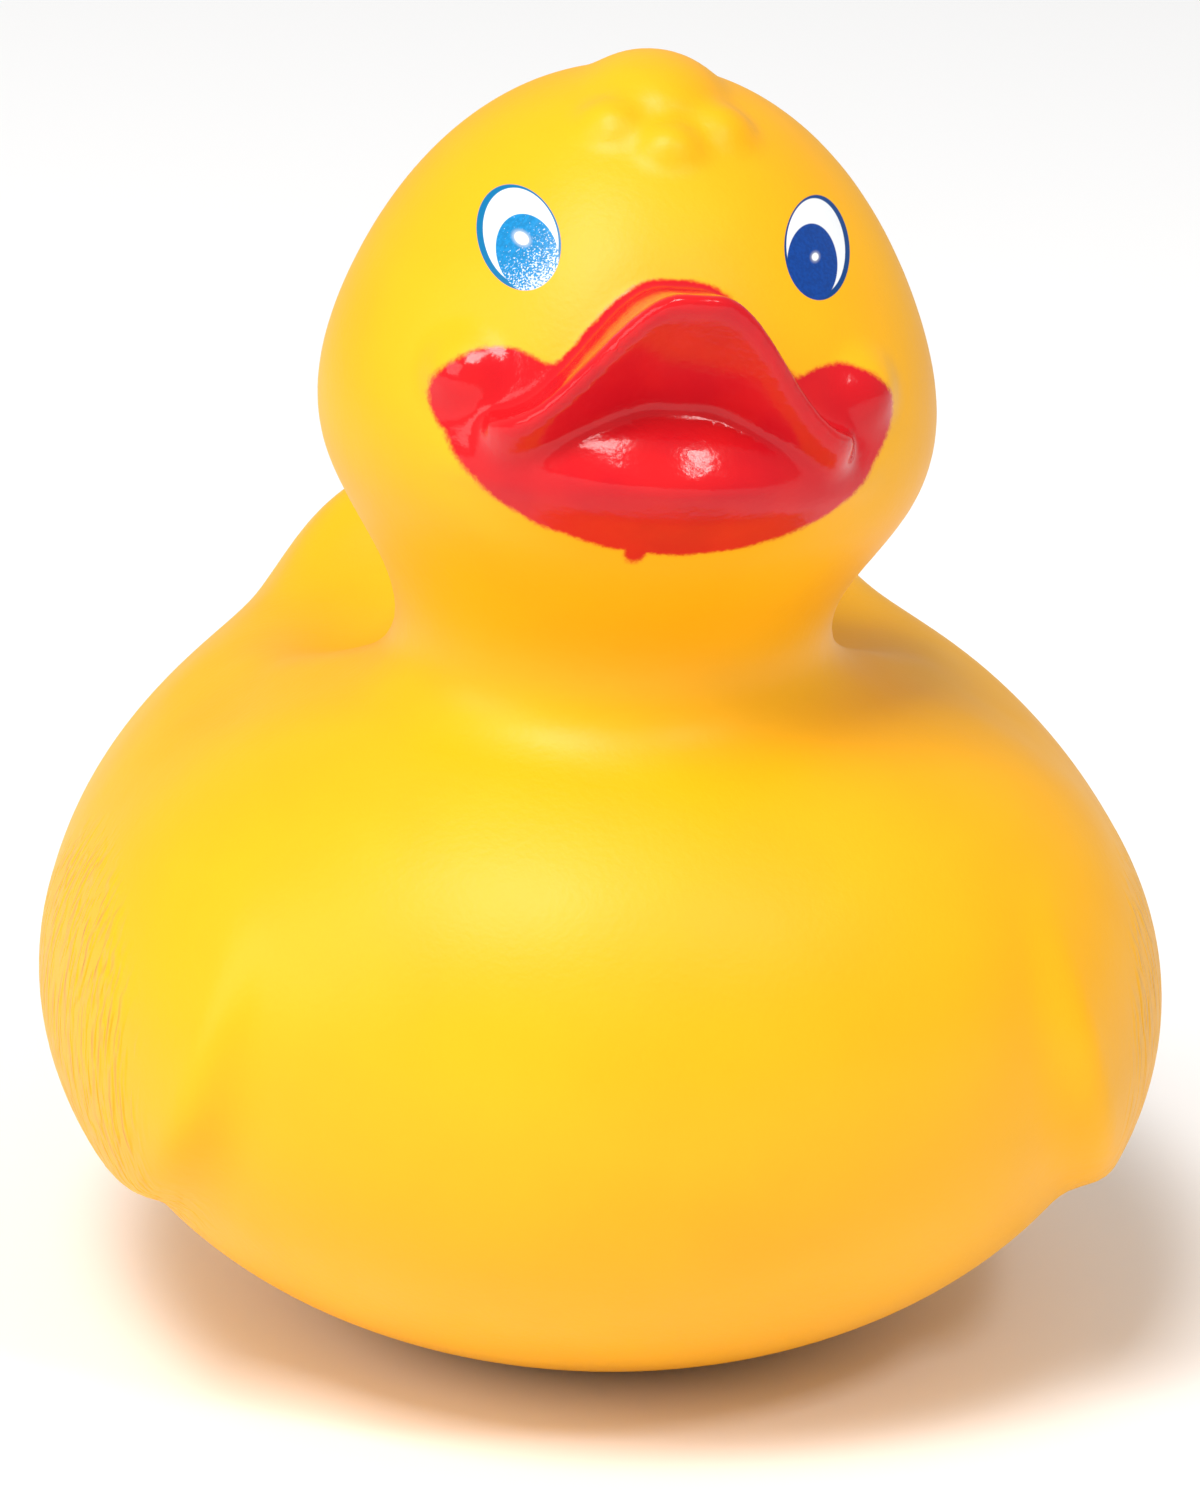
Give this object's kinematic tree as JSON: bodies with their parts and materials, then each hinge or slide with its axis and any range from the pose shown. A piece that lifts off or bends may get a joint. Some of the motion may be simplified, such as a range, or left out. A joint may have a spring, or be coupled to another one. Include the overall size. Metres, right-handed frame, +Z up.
{
  "type": "rubber duck",
  "caption": "Hollow moulded vinyl bath duck with open bill, raised wings and a flat base that holds a pressed-in squeaker.",
  "frame": {"origin": "centre of the bounding box on the plane of the flat base", "axes": "+Z up, the duck looks along -Y, +X is its left side"},
  "size_m": [0.0836, 0.0982, 0.0973],
  "materials": {
    "vinyl": "satin moulded vinyl",
    "squeaker_plastic": "moulded gloss",
    "reed_plastic": "moulded gloss"
  },
  "bodies": {
    "root": {"duck_body": "vinyl", "squeaker_case": "squeaker_plastic", "squeaker_reed": "reed_plastic"}
  },
  "joints": []
}
